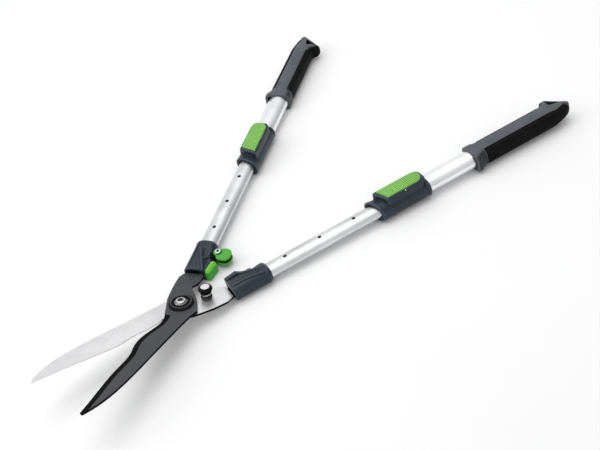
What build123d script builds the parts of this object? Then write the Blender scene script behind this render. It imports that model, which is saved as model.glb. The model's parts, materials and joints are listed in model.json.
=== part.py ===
from build123d import *
import os
from math import atan, cos, degrees, radians, sin, tan

# Telescopic hedge shears lying on their ferrules and clamps, blades towards -X, arms towards +X.
# Everything is drawn on the right-hand lever or arm, and the left-hand pieces are its mirror images
# about the XZ plane. Lengths are in millimetres, angles in degrees.

# ---- driving dimensions ----
ARM_SPREAD = 22.6         # each lever's angle from the middle plane
CRANK = 10.33             # how far the arms bend up out of the blades' plane
CRANK_START = 60.0        # from the pivot to the bend
ARM_OFFSET = 9.34         # the arm's axis passes this far outside the pivot
CLOSING_ANGLE = 24.0      # from this pose to shut, both levers together
PIVOT_X = -166.14
PIVOT_HEIGHT = 20.525

BLADE_THICKNESS = 3.0
BLADE_GAP = 0.1           # between the blades' meeting faces
EDGE_LAND = 1.4           # flat left at the foot of the ground bevel
BEVEL_WIDTH = 8.5
TANG_WIDTH = 18.0
TANG_END = 105.0
BUSH_RADIUS = 6.0
RUNNING = 0.05            # radial clearance of a running fit

INNER_TUBE = (12.0, 8.0)          # outer semi-axes of the oval tubes
OUTER_TUBE = (15.0, 11.0)
TUBE_WALL = 1.5
TUBE_START = 68.0
INNER_TUBE_END = 372.0
OUTER_TUBE_START = 278.0
OUTER_TUBE_END = 540.0
LOCK_HOLE_FIRST = 140.4
LOCK_HOLE_PITCH = 50.0
LOCK_HOLE_COUNT = 4
LOCK_HOLE_RADIUS = 2.5
LOCK_AT = LOCK_HOLE_FIRST + (LOCK_HOLE_COUNT - 1) * LOCK_HOLE_PITCH

FERRULE_START = 62.0
FERRULE_END = 115.0
FERRULE = (14.5, 11.0)            # semi-axes of the ferrule's sleeve
TANG_SCREWS_AT = (80.0, 98.0)
SCREW_RADIUS = 2.0

CLAMP = (17.0, 13.0)              # semi-axes of the clamp's sleeve
CLAMP_START = 266.0       # the collar's front slopes back from here, at its top
CLAMP_SLOPE_BACK = 12.0
CLAMP_BOX_START = 279.0
CLAMP_BOX_END = 348.0
CLAMP_END = 350.0
CLAMP_TOP = 20.5
BUTTON_START = 281.0
BUTTON_HALF_WIDTH = 11.5
BUTTON_END = 342.0
BUTTON_TOP = 21.0
BUTTON_GAP = 0.5
BUTTON_PIN_AT = (313.0, 17.5)
BUTTON_PIN_RADIUS = 1.5
BUTTON_PIN_HALF_LENGTH = 14.9
CAVITY_FLOOR = 13.0
SPRING_AT = 333.0
CLAMP_SCREW_AT = 335.0

GRIP_START = 417.0
GRIP_COLLAR = 13.0        # length of the thick collar at the grip's front
GRIP_COLLAR_SIZE = (38.8, 26.8)
GRIP_COLLAR_SHIFT = 2.3   # outwards
GRIP_HALF_WIDTH = 17.6
GRIP_HALF_HEIGHT = 13.0
GRIP_ROUNDING = 12.4
RUBBER = (437.0, 562.0)
RUBBER_DEPTH = 1.2
BAND_HALF_WIDTH = 9.5
BAND_TOP = 13.3
GRIP_SCREW_AT = 424.0

LATCH_PIVOT = (97.0, 21.0)
LATCH_CENTRE = (94.5, 29.5)
LATCH_RADIUS = 10.0
LATCH_BOTTOM = -3.0
LATCH_TOP = 8.0
LATCH_SLOT = (0.7, 4.8)
FINGER = (0.8, 3.2)       # lower and upper face of the finger that the latch holds
STOP_BOLT_AT = (32.5, -0.5)

# ---- frames ----
crank = radians(CRANK)
spread = radians(ARM_SPREAD)
# level arms, less the little that sets the ferrules down with the clamps
feet_apart = (CLAMP_START + CLAMP_SLOPE_BACK - FERRULE_START) * cos(spread)
settle = atan((CLAMP[1] - FERRULE[1]) / feet_apart)
rest_tilt = atan(tan(crank) / cos(spread)) - settle

# tool: X is the middle line towards the handles, Z the pivot's axis
tool = Plane(
    origin=(PIVOT_X, 0, PIVOT_HEIGHT),
    x_dir=(cos(rest_tilt), 0, -sin(rest_tilt)),
    z_dir=(sin(rest_tilt), 0, cos(rest_tilt)),
)
# lever: X along the lever, Y inwards. arm: the same beyond the bend, with X = 0 near the pivot
lever = Plane(
    origin=tool.origin,
    x_dir=tool.x_dir * cos(spread) - tool.y_dir * sin(spread),
    z_dir=tool.z_dir,
)
arm = Plane(
    origin=lever.from_local_coords(
        (CRANK_START * (1 - cos(crank)), -ARM_OFFSET, -CRANK_START * sin(crank))
    ),
    x_dir=lever.x_dir * cos(crank) + lever.z_dir * sin(crank),
    z_dir=lever.z_dir * cos(crank) - lever.x_dir * sin(crank),
)
half_shut = radians(ARM_SPREAD - CLOSING_ANGLE / 2)


def section(along):
    """Plane across the arm: X inwards, Y up, facing the grip."""
    return Plane(arm.from_local_coords((along, 0, 0)), x_dir=arm.y_dir, z_dir=arm.x_dir)


def side(inwards):
    """Upright plane along the arm: X along it, Y up."""
    return Plane(arm.from_local_coords((0, inwards, 0)), x_dir=arm.x_dir, z_dir=-arm.y_dir)


def middle_when_shut(along):
    """How far inwards the levers' middle plane lies when the shears are shut."""
    level = CRANK_START + (along - CRANK_START) * cos(crank)
    return level * tan(half_shut) + ARM_OFFSET / cos(half_shut)


def inset(semi_axes, depth):
    return semi_axes[0] - depth, semi_axes[1] - depth


def oval(start, end, semi_axes, mode=Mode.ADD):
    """Add or cut an oval bar along the arm, inside the current part."""
    with BuildSketch(section(start)) as across:
        Ellipse(*semi_axes)
    extrude(across.sketch, amount=end - start, mode=mode)


def upright_holes(places, radius, low, high, plane=arm):
    """Cut round holes square to the arm, or to another plane, from low to high."""
    with BuildSketch(plane.offset(low)) as holes:
        with Locations(*places):
            Circle(radius)
    extrude(holes.sketch, amount=high - low, mode=Mode.SUBTRACT)


def prism(points, low, high, mode=Mode.ADD, plane=arm):
    """A straight-sided block with this plan outline."""
    with BuildSketch(plane.offset(low)) as outline:
        with BuildLine():
            Polyline(*points, close=True)
        make_face()
    extrude(outline.sketch, amount=high - low, mode=mode)


def write(piece, name):
    piece.part.label = name
    export_step(piece.part, f"parts/{name}.step")


def write_left(piece, name):
    """The piece's mirror image, on the left lever."""
    with BuildPart() as twin:
        mirror(piece.part, about=Plane.XZ)
    write(twin, name)


def write_pair(piece, name):
    write(piece, f"right_{name}")
    write_left(piece, f"left_{name}")


os.makedirs("parts", exist_ok=True)

# ---- blades ----
SILVER_SPINE = [(-196, -33), (-175, -17.5), (-140, -5), (-100, 3), (-60, 9.5), (-20, 17)]
SILVER_HUB = [(-4, 18), (17.2, 6.5), (16, -9)]
SILVER_NECK = [(16, -9), (23, -5), (27, 3), (33, 7.5), (42, 7.5), (50, 9), (60, 5)]
SILVER_OUTER = [(60, -19.5), (50, -25), (30, -27.5), (10, -27), (0, -25.5), (-30, -12)]
SILVER_EDGE = [
    (-30, -12), (-45, -18), (-60, -21), (-75, -24), (-88, -28.5), (-100, -30), (-130, -31.5),
    (-160, -33), (-196, -36),
]
BLACK_SPINE = [(-200, -30), (-175, -15.8), (-140, -4.8), (-100, 3.6), (-60, 11.5), (-22, 19.8)]
BLACK_INNER = [
    (-22, 19.8), (-10, 25), (0, 20.8), (10, 16.2), (20, 9.8), (28, 3), (33, 0), (36, 0.5),
    (40, 3.5), (46, 5.5), (56, 5.5), (60, 3),
]
BLACK_OUTER = [(60, -18), (57, -22), (50, -25), (35, -24.5), (20, -23), (5, -21), (-24, -11.5)]
BLACK_EDGE = [
    (-24, -11.5), (-30, -10.5), (-42, -11.8), (-52, -16), (-68, -22.3), (-82, -24), (-98, -22),
    (-112, -23.3), (-130, -26.8), (-160, -30), (-198, -33.5),
]


def bevel(edge, foot, top):
    """Grind one blade edge: cuts from the edge line at foot to BEVEL_WIDTH inside it at top."""
    waste = []
    for height, shift in ((foot, 0), (top, BEVEL_WIDTH)):
        with BuildSketch(lever.offset(height)) as ground:
            with BuildLine():
                line = Spline(*[(x, y + shift) for x, y in edge])
                tip, heel = line @ 1, line @ 0
                Polyline(tip, (tip.X - 6, tip.Y), (tip.X - 6, -70), (heel.X, -70), heel)
            make_face()
        waste.append(ground.sketch)
    loft(waste, ruled=True, mode=Mode.SUBTRACT)


def tang(low):
    """The bent end of a blade plate, inside the ferrule."""
    prism(
        [
            (CRANK_START - 1, -TANG_WIDTH / 2), (TANG_END, -TANG_WIDTH / 2),
            (TANG_END, TANG_WIDTH / 2), (CRANK_START - 1, TANG_WIDTH / 2),
        ],
        low, low + BLADE_THICKNESS,
    )
    upright_holes([(x, 0) for x in TANG_SCREWS_AT], SCREW_RADIUS, -8, 8)


STOP_HOLE_RADIUS = 3.0
silver_low = -BLADE_GAP / 2 - BLADE_THICKNESS
black_low = BLADE_GAP / 2

with BuildPart() as silver_blade:
    with BuildSketch(lever.offset(silver_low)):
        with BuildLine():
            Spline(*SILVER_SPINE)
            Line(SILVER_SPINE[-1], SILVER_HUB[0])
            ThreePointArc(*SILVER_HUB)
            Polyline(*SILVER_NECK, *SILVER_OUTER)
            Spline(*SILVER_EDGE)
            Line(SILVER_EDGE[-1], SILVER_SPINE[0])
        make_face()
    extrude(amount=BLADE_THICKNESS)
    bevel(SILVER_EDGE, -BLADE_GAP / 2 - EDGE_LAND, silver_low - 0.2)
    tang(silver_low)
    upright_holes([(0, 0)], BUSH_RADIUS, -5, 5, lever)
    upright_holes([STOP_BOLT_AT], STOP_HOLE_RADIUS, -5, 5, lever)
write(silver_blade, "silver_blade")

with BuildPart() as black_blade:
    with BuildSketch(lever.offset(black_low)):
        with BuildLine():
            Spline(*BLACK_SPINE)
            Polyline(*BLACK_INNER, *BLACK_OUTER)
            Spline(*BLACK_EDGE)
            Line(BLACK_EDGE[-1], BLACK_SPINE[0])
        make_face()
    extrude(amount=BLADE_THICKNESS)
    bevel(BLACK_EDGE, black_low + EDGE_LAND, black_low + BLADE_THICKNESS + 0.2)
    tang(black_low)
    upright_holes([(0, 0)], BUSH_RADIUS + RUNNING, -5, 5, lever)
write_left(black_blade, "black_blade")

# ---- pivot: the screw clamps the bush to the silver blade, and the black blade turns on it ----
DISC_LOW = black_low + BLADE_THICKNESS + RUNNING
DISC_THICKNESS = 2.0
BUSH_TOP = DISC_LOW + DISC_THICKNESS + 0.1
DISC_RADIUS = 15.6
DISC_LIP = (13.6, 11.0)   # outer and inner radius of the raised lip
DISC_LIP_HEIGHT = 0.9
HEAD_RADIUS = 8.3
HEAD_HEIGHT = 3.6
HEAD_ROUNDING = 2.4
HEX_RADIUS = 2.5
HEX_DEPTH = 2.6
SHANK_RADIUS = 4.0
THREAD_OVER = 1.5         # bolt end past its nut
WASHER_RADIUS = 9.0
WASHER_THICKNESS = 1.2
NUT_FLATS = 13.0
NUT_HEIGHT = 6.5
washer_low = silver_low - WASHER_THICKNESS
nut_low = washer_low - NUT_HEIGHT


def ring(low, high, outer, inner, plane=lever, at=(0, 0)):
    """Add a round ring, or a disc where inner is 0."""
    with BuildSketch(plane.offset(low)) as disc:
        with Locations(at):
            Circle(outer)
            if inner:
                Circle(inner, mode=Mode.SUBTRACT)
    extrude(disc.sketch, amount=high - low)


with BuildPart() as pivot_bush:
    ring(silver_low, BUSH_TOP, BUSH_RADIUS, SHANK_RADIUS)
write(pivot_bush, "pivot_bush")

with BuildPart() as pivot_disc:
    ring(DISC_LOW, DISC_LOW + DISC_THICKNESS, DISC_RADIUS, BUSH_RADIUS + RUNNING)
    ring(DISC_LOW, DISC_LOW + DISC_THICKNESS + DISC_LIP_HEIGHT, *DISC_LIP)
    chamfer(pivot_disc.edges().filter_by(GeomType.CIRCLE).group_by(SortBy.RADIUS)[-1], 0.6)
write(pivot_disc, "pivot_disc")

with BuildPart() as pivot_screw:
    ring(nut_low - THREAD_OVER, BUSH_TOP, SHANK_RADIUS, 0)
    ring(BUSH_TOP, BUSH_TOP + HEAD_HEIGHT, HEAD_RADIUS, 0)
    fillet(pivot_screw.edges().sort_by(Axis(lever.origin, lever.z_dir))[-1], HEAD_ROUNDING)
    with BuildSketch(lever.offset(BUSH_TOP + HEAD_HEIGHT)):
        RegularPolygon(HEX_RADIUS, 6, major_radius=False)
    extrude(amount=-HEX_DEPTH, mode=Mode.SUBTRACT)
write(pivot_screw, "pivot_screw")

with BuildPart() as pivot_washer:
    ring(washer_low, silver_low, WASHER_RADIUS, SHANK_RADIUS)
write(pivot_washer, "pivot_washer")

with BuildPart() as pivot_nut:
    with BuildSketch(lever.offset(nut_low)):
        RegularPolygon(NUT_FLATS / 2, 6, major_radius=False)
        Circle(SHANK_RADIUS, mode=Mode.SUBTRACT)
    extrude(amount=NUT_HEIGHT)
write(pivot_nut, "pivot_nut")

# ---- stop bolt on the silver tang: a waisted post with a domed head ----
STOP_SHANK_RADIUS = STOP_HOLE_RADIUS
STOP_WAIST_RADIUS = 5.0
STOP_HEAD_RADIUS = 9.0
STOP_HEAD_TOP = 16.0
STOP_RIM = (10.4, 12.4)   # lower and upper edge of the head's rim
STOP_FOOT_RADIUS = 7.2
STOP_FOOT_TOP = 2.6
STOP_WAIST = (3.6, 8.6)
STOP_RING = (4.2, 8.0)
STOP_RING_RADIUS = 6.9
STOP_NUT_FLATS = 10.0
STOP_NUT_HEIGHT = 5.0
stop_foot = -BLADE_GAP / 2
stop_end = silver_low - STOP_NUT_HEIGHT - THREAD_OVER
stop = Plane(
    lever.from_local_coords((*STOP_BOLT_AT, 0)), x_dir=lever.x_dir, z_dir=-lever.y_dir
)

with BuildPart() as stop_bolt:
    with BuildSketch(stop):
        with BuildLine():
            Polyline(
                (0, STOP_HEAD_TOP), (0, stop_end), (STOP_SHANK_RADIUS, stop_end),
                (STOP_SHANK_RADIUS, stop_foot), (STOP_FOOT_RADIUS, stop_foot),
                (STOP_FOOT_RADIUS, STOP_FOOT_TOP), (STOP_WAIST_RADIUS, STOP_WAIST[0]),
                (STOP_WAIST_RADIUS, STOP_WAIST[1]),
                (STOP_HEAD_RADIUS, STOP_RIM[0]), (STOP_HEAD_RADIUS, STOP_RIM[1]),
            )
            TangentArc(
                (0, STOP_HEAD_TOP), (STOP_HEAD_RADIUS, STOP_RIM[1]), tangent=(1, 0)
            )
        make_face()
    revolve(axis=Axis(stop.origin, lever.z_dir))
write(stop_bolt, "stop_bolt")

with BuildPart() as stop_ring:
    ring(*STOP_RING, STOP_RING_RADIUS, STOP_WAIST_RADIUS, at=STOP_BOLT_AT)
write(stop_ring, "stop_ring")

with BuildPart() as stop_nut:
    with BuildSketch(lever.offset(silver_low - STOP_NUT_HEIGHT)):
        with Locations(STOP_BOLT_AT):
            RegularPolygon(STOP_NUT_FLATS / 2, 6, major_radius=False)
            Circle(STOP_SHANK_RADIUS, mode=Mode.SUBTRACT)
    extrude(amount=STOP_NUT_HEIGHT)
write(stop_nut, "stop_nut")

# ---- ferrules ----
screw_places = [(x, 0) for x in TANG_SCREWS_AT]
SCREW_HEAD_RADIUS = 3.4
SCREW_HEAD_HEIGHT = 1.4
SCREW_TOP = 5.0
SCREW_SEAT = -FERRULE[1] + 1.6


def ferrule_cuts(tang_low):
    """The tube's socket, the tang's slot and the screw holes."""
    oval(TUBE_START, FERRULE_END + 1, INNER_TUBE, Mode.SUBTRACT)
    half = TANG_WIDTH / 2
    prism(
        [(55, -half), (TUBE_START, -half), (TUBE_START, half), (55, half)],
        tang_low, tang_low + BLADE_THICKNESS, Mode.SUBTRACT,
    )
    upright_holes(screw_places, SCREW_RADIUS, -FERRULE[1] - 1, 0)
    upright_holes(screw_places, SCREW_HEAD_RADIUS, -FERRULE[1] - 1, SCREW_SEAT)


STOP_FACE_GAP = 0.4       # from the block and from the bumper to the middle plane, when shut
BLOCK = (62.5, 80.0)
BLOCK_LEVELS = (-9.0, 8.0)
FINGER_OUTLINE = [(84, 8), (84, 18.5), (94, 20.5), (98.5, 17.5), (97, 8)]

with BuildPart() as right_ferrule:
    oval(FERRULE_START, FERRULE_END, FERRULE)
    prism(
        [
            (BLOCK[0], 5), (BLOCK[0], middle_when_shut(BLOCK[0]) - STOP_FACE_GAP),
            (BLOCK[1], middle_when_shut(BLOCK[1]) - STOP_FACE_GAP), (88, 14), (88, 5),
        ],
        *BLOCK_LEVELS,
    )
    prism(FINGER_OUTLINE, *FINGER)
    ferrule_cuts(silver_low)
write(right_ferrule, "right_ferrule")

PAD_END = 80.0
SHOULDER = [(FERRULE_START, 15.5), (PAD_END, 18.0)]
PAD_LEVELS = (-9.0, 7.0)
EAR = (-9.0, LATCH_BOTTOM - 0.2)  # lower and upper face of the ear that carries the latch
EAR_RADIUS = 6.5
EAR_OUTLINE = [(90.5, 5), (90.5, 21), (103.5, 21), (103.5, 5)]

with BuildPart() as left_ferrule:
    oval(FERRULE_START, FERRULE_END, FERRULE)
    prism([(FERRULE_START, 5), *SHOULDER, (88, 13), (88, 5)], *BLOCK_LEVELS)
    prism(EAR_OUTLINE, *EAR)
    ring(*EAR, EAR_RADIUS, 0, arm, LATCH_PIVOT)
    ferrule_cuts(black_low)
    upright_holes([LATCH_PIVOT], SCREW_RADIUS, EAR[0] - 1, EAR[1] + 1)
write_left(left_ferrule, "left_ferrule")

with BuildPart() as bumper:
    prism(
        [
            *SHOULDER, (PAD_END, middle_when_shut(PAD_END) - STOP_FACE_GAP),
            (SHOULDER[0][0], middle_when_shut(SHOULDER[0][0]) - STOP_FACE_GAP),
        ],
        *PAD_LEVELS,
    )
write_left(bumper, "bumper")

for name, tang_low, writer in (
    ("right_tang_insert", silver_low, write), ("left_tang_insert", black_low, write_left)
):
    with BuildPart() as tang_insert:
        oval(TUBE_START + 1, TANG_END, inset(INNER_TUBE, TUBE_WALL))
        half = TANG_WIDTH / 2
        prism(
            [(60, -half), (TANG_END, -half), (TANG_END, half), (60, half)],
            tang_low, tang_low + BLADE_THICKNESS, Mode.SUBTRACT,
        )
        upright_holes(screw_places, SCREW_RADIUS, -8, 5)
    writer(tang_insert, name)

with BuildPart() as ferrule_screws:
    with BuildSketch(arm.offset(SCREW_SEAT)):
        with Locations(*screw_places):
            Circle(SCREW_HEAD_RADIUS)
    extrude(amount=-SCREW_HEAD_HEIGHT)
    with BuildSketch(arm.offset(SCREW_SEAT)):
        with Locations(*screw_places):
            Circle(SCREW_RADIUS)
    extrude(amount=SCREW_TOP - SCREW_SEAT)
write_pair(ferrule_screws, "ferrule_screws")

# ---- latch on the left ferrule ----
HUB_RADIUS = 6.0
SHOULDER_RADIUS = 2.5
LATCH_HEAD_RADIUS = 4.0
LATCH_SOCKET_RADIUS = 1.6
LATCH_SOCKET_DEPTH = 1.2
latch_head_low = LATCH_TOP + 0.15
latch_head_top = LATCH_TOP + 1.9

with BuildPart() as latch:
    ring(LATCH_BOTTOM, LATCH_TOP, LATCH_RADIUS, 0, arm, LATCH_CENTRE)
    with BuildSketch(arm.offset(LATCH_SLOT[0])):
        with Locations(LATCH_CENTRE):
            Circle(LATCH_RADIUS + 5)
        with Locations(LATCH_PIVOT):
            Circle(HUB_RADIUS, mode=Mode.SUBTRACT)
    extrude(amount=LATCH_SLOT[1] - LATCH_SLOT[0], mode=Mode.SUBTRACT)
    ring(LATCH_BOTTOM, LATCH_TOP, HUB_RADIUS, 0, arm, LATCH_PIVOT)
    upright_holes([LATCH_PIVOT], SHOULDER_RADIUS + RUNNING, LATCH_BOTTOM - 1, LATCH_TOP + 1)
write_left(latch, "latch")

with BuildPart() as latch_screw:
    ring(EAR[0] + 0.5, EAR[1], SCREW_RADIUS, 0, arm, LATCH_PIVOT)
    ring(EAR[1], latch_head_low, SHOULDER_RADIUS, 0, arm, LATCH_PIVOT)
    ring(latch_head_low, latch_head_top, LATCH_HEAD_RADIUS, 0, arm, LATCH_PIVOT)
    with BuildSketch(arm.offset(latch_head_top)):
        with Locations(LATCH_PIVOT):
            RegularPolygon(LATCH_SOCKET_RADIUS, 6, major_radius=False)
    extrude(amount=-LATCH_SOCKET_DEPTH, mode=Mode.SUBTRACT)
write_left(latch_screw, "latch_screw")

# ---- tubes and their bushes ----
lock_places = [(LOCK_HOLE_FIRST + i * LOCK_HOLE_PITCH, 0) for i in range(LOCK_HOLE_COUNT)]
PIN_SWING = 1.5           # room for the lock pin's arc
PIN_RADIUS = 2.3
PIN_TIP_RADIUS = 1.5
SLIDER_LENGTH = 22.0
FRONT_BUSH_LENGTH = 7.0
FRONT_BUSH_FLANGE = 3.0
PLUG_LENGTH = 12.0
SMALL_SCREW_RADIUS = 1.5
SMALL_SCREW_HEAD = 3.0
SLIDING = 0.07            # clearance of the telescope's bushes
outer_bore = inset(OUTER_TUBE, TUBE_WALL)
INNER_RUNNING = inset(INNER_TUBE, -SLIDING)

with BuildPart() as inner_tube:
    oval(TUBE_START, INNER_TUBE_END, INNER_TUBE)
    oval(TUBE_START, INNER_TUBE_END, inset(INNER_TUBE, TUBE_WALL), Mode.SUBTRACT)
    upright_holes(lock_places, LOCK_HOLE_RADIUS, 0, 12)
    upright_holes(screw_places, SCREW_RADIUS, -12, 0)
write_pair(inner_tube, "inner_tube")

with BuildPart() as slider_bush:
    oval(INNER_TUBE_END - SLIDER_LENGTH, INNER_TUBE_END + 2, inset(outer_bore, SLIDING))
    oval(INNER_TUBE_END - SLIDER_LENGTH, INNER_TUBE_END, INNER_TUBE, Mode.SUBTRACT)
write_pair(slider_bush, "slider_bush")

with BuildPart() as outer_tube:
    oval(OUTER_TUBE_START, OUTER_TUBE_END, OUTER_TUBE)
    oval(OUTER_TUBE_START, OUTER_TUBE_END, outer_bore, Mode.SUBTRACT)
    upright_holes([(LOCK_AT, 0)], PIN_RADIUS + PIN_SWING, 0, 15)
    upright_holes([(CLAMP_SCREW_AT, 0), (GRIP_SCREW_AT, 0)], SMALL_SCREW_RADIUS, -15, 0)
write_pair(outer_tube, "outer_tube")

with BuildPart() as front_bush:
    flange_start = OUTER_TUBE_START - FRONT_BUSH_FLANGE
    oval(flange_start, OUTER_TUBE_START, OUTER_TUBE)
    oval(OUTER_TUBE_START, OUTER_TUBE_START + FRONT_BUSH_LENGTH, outer_bore)
    oval(flange_start, OUTER_TUBE_START + FRONT_BUSH_LENGTH, INNER_RUNNING, Mode.SUBTRACT)
write_pair(front_bush, "front_bush")

with BuildPart() as tube_plug:
    oval(OUTER_TUBE_END - PLUG_LENGTH, OUTER_TUBE_END, outer_bore)
write_pair(tube_plug, "tube_plug")

# ---- clamp with its rocking lock button ----
button_round = BUTTON_END - BUTTON_HALF_WIDTH
BOX_FOOT_HALF_WIDTH = 16.8
BOX_TOP_HALF_WIDTH = 13.8
BOX_ROUND_FROM = 332.0
BOX_FRONT = [(277, 24), (277, 12.5), (278.5, 12.5), (281.8, 24)]  # what its sloping front loses
TUBE_CLEARANCE = 1.2
CLAMP_SCREW_SEAT = -11.4
CLAMP_SCREW_HEAD_LOW = -12.9
SMALL_SCREW_TOP = -9.6


def button_outline(low, high, gap, mode=Mode.ADD):
    """Square towards the blades, round towards the grip, grown by a gap."""
    half = BUTTON_HALF_WIDTH + gap
    front = BUTTON_START - gap
    with BuildSketch(arm.offset(low)) as outline:
        with BuildLine():
            Polyline((button_round, half), (front, half), (front, -half), (button_round, -half))
            ThreePointArc((button_round, -half), (button_round + half, 0), (button_round, half))
        make_face()
    extrude(outline.sketch, amount=high - low, mode=mode)


with BuildPart() as clamp_housing:
    with BuildSketch(section(CLAMP_BOX_START)) as box_section:
        with BuildLine():
            Polyline(
                (-BOX_FOOT_HALF_WIDTH, -2), (BOX_FOOT_HALF_WIDTH, -2),
                (BOX_TOP_HALF_WIDTH, CLAMP_TOP), (-BOX_TOP_HALF_WIDTH, CLAMP_TOP), close=True,
            )
        make_face()
        fillet(box_section.vertices().group_by(Axis.Y)[-1], 1.2)
    extrude(amount=CLAMP_BOX_END - CLAMP_BOX_START)
    with BuildSketch(arm.offset(-15)):
        with BuildLine():
            Polyline(
                (BOX_ROUND_FROM, 18), (CLAMP_BOX_START, 18), (CLAMP_BOX_START, -18),
                (BOX_ROUND_FROM, -18),
            )
            ThreePointArc((BOX_ROUND_FROM, -18), (CLAMP_BOX_END, 0), (BOX_ROUND_FROM, 18))
        make_face()
    extrude(amount=40, mode=Mode.INTERSECT)
    oval(CLAMP_START, CLAMP_END, CLAMP)
    with BuildSketch(side(0)):
        with BuildLine():
            Polyline(
                (CLAMP_START - 1, CLAMP[1]), (CLAMP_START, CLAMP[1]),
                (CLAMP_START + CLAMP_SLOPE_BACK, -CLAMP[1]), (CLAMP_START - 1, -CLAMP[1] - 1),
                close=True,
            )
        make_face()
        with BuildLine():
            Polyline(*BOX_FRONT, close=True)
        make_face()
    extrude(amount=20, both=True, mode=Mode.SUBTRACT)
    button_outline(CAVITY_FLOOR, CAVITY_FLOOR + 10, BUTTON_GAP, Mode.SUBTRACT)
    oval(OUTER_TUBE_START - FRONT_BUSH_FLANGE, CLAMP_END + 1, OUTER_TUBE, Mode.SUBTRACT)
    oval(CLAMP_START - 1, OUTER_TUBE_START, inset(INNER_TUBE, -TUBE_CLEARANCE), Mode.SUBTRACT)
    upright_holes([(LOCK_AT, 0)], PIN_RADIUS + PIN_SWING, 8, 14)
    upright_holes([(CLAMP_SCREW_AT, 0)], SMALL_SCREW_RADIUS, -15, -8)
    upright_holes([(CLAMP_SCREW_AT, 0)], SMALL_SCREW_HEAD, -15, CLAMP_SCREW_SEAT)
    with BuildSketch(side(0)):
        with Locations(BUTTON_PIN_AT):
            Circle(BUTTON_PIN_RADIUS)
    extrude(amount=20, both=True, mode=Mode.SUBTRACT)
write_pair(clamp_housing, "clamp_housing")

with BuildPart() as button_pin:
    with BuildSketch(side(0)):
        with Locations(BUTTON_PIN_AT):
            Circle(BUTTON_PIN_RADIUS)
    extrude(amount=BUTTON_PIN_HALF_LENGTH, both=True)
write_pair(button_pin, "button_pin")

SPRING_TOP = 18.6
SPRING_POCKET_RADIUS = 3.9
PIN_TOP = 18.0
PIN_SHOULDER = 8.6
PIN_TIP = 6.3
BUTTON_FLOOR = 15.2
BUTTON_RELIEF = [(316, 15), (343, 15), (343, 16.4)]  # room under its back end to rock down

with BuildPart() as button:
    button_outline(BUTTON_FLOOR, BUTTON_TOP, 0)
    fillet(button.edges().group_by(Axis(arm.origin, arm.z_dir))[-1], 0.8)
    with BuildSketch(side(0)):
        with BuildLine():
            Polyline(*BUTTON_RELIEF, close=True)
        make_face()
    extrude(amount=20, both=True, mode=Mode.SUBTRACT)
    with BuildSketch(side(0)):
        with Locations(BUTTON_PIN_AT):
            Circle(BUTTON_PIN_RADIUS + RUNNING)
    extrude(amount=20, both=True, mode=Mode.SUBTRACT)
    upright_holes([(SPRING_AT, 0)], SPRING_POCKET_RADIUS, 14, SPRING_TOP)
    upright_holes([(LOCK_AT, 0)], PIN_RADIUS, 14, PIN_TOP)
write_pair(button, "button")

with BuildPart() as lock_pin:
    ring(PIN_SHOULDER, PIN_TOP, PIN_RADIUS, 0, arm, (LOCK_AT, 0))
    ring(PIN_TIP, PIN_SHOULDER, PIN_TIP_RADIUS, 0, arm, (LOCK_AT, 0))
write_pair(lock_pin, "lock_pin")

spring_foot = arm.from_local_coords((SPRING_AT, 0, CAVITY_FLOOR + 0.45))
SPRING_RADIUS = 2.7
SPRING_WIRE = 0.35
SPRING_HEIGHT = SPRING_TOP - CAVITY_FLOOR - 0.9

with BuildPart() as button_spring:
    with BuildLine():
        coil = Helix(
            pitch=SPRING_HEIGHT / 4, height=SPRING_HEIGHT, radius=SPRING_RADIUS,
            center=spring_foot, direction=arm.z_dir,
        )
    with BuildSketch(Plane(coil @ 0, z_dir=coil % 0)):
        Circle(SPRING_WIRE)
    sweep(path=coil, is_frenet=True)
write_pair(button_spring, "button_spring")

with BuildPart() as clamp_screw:
    ring(CLAMP_SCREW_HEAD_LOW, CLAMP_SCREW_SEAT, SMALL_SCREW_HEAD, 0, arm, (CLAMP_SCREW_AT, 0))
    ring(CLAMP_SCREW_SEAT, SMALL_SCREW_TOP, SMALL_SCREW_RADIUS, 0, arm, (CLAMP_SCREW_AT, 0))
write_pair(clamp_screw, "clamp_screw")

# ---- grips ----
GRIP_END = (574.0, -4.0)
HOOK_CORNER = (553.0, 26.5)
HANGING_HOLE = [(566.0, 1.0), (551.0, 20.0), (548.5, 4.0)]
CORNER_ROUNDING = 2.0
STRAIGHT_END = 534.0
HOOK_CENTRE = 5.0         # the hooked end's section reaches this much further inwards
TIP_BULGE = -14.4         # outer side of the rounded end, halfway along it
BAND_OUTLINE = [
    (GRIP_START, -BAND_HALF_WIDTH), (556, -BAND_HALF_WIDTH), (569, -2), (552, 22), (547, 22),
    (538, BAND_HALF_WIDTH), (GRIP_START, BAND_HALF_WIDTH),
]
BAND_FOOT = 8.0
GRIP_SCREW_SEAT = -11.6
GRIP_SCREW_HEAD_LOW = -13.0


def rounded_bar(start, end, centre, half_width, depth, mode=Mode.ADD):
    """A stretch of the grip's rounded section, thinned by depth."""
    with BuildSketch(section(start)) as across:
        with Locations((centre, 0)):
            RectangleRounded(
                2 * (half_width - depth), 2 * (GRIP_HALF_HEIGHT - depth), GRIP_ROUNDING - depth
            )
    extrude(across.sketch, amount=end - start, mode=mode)


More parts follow.
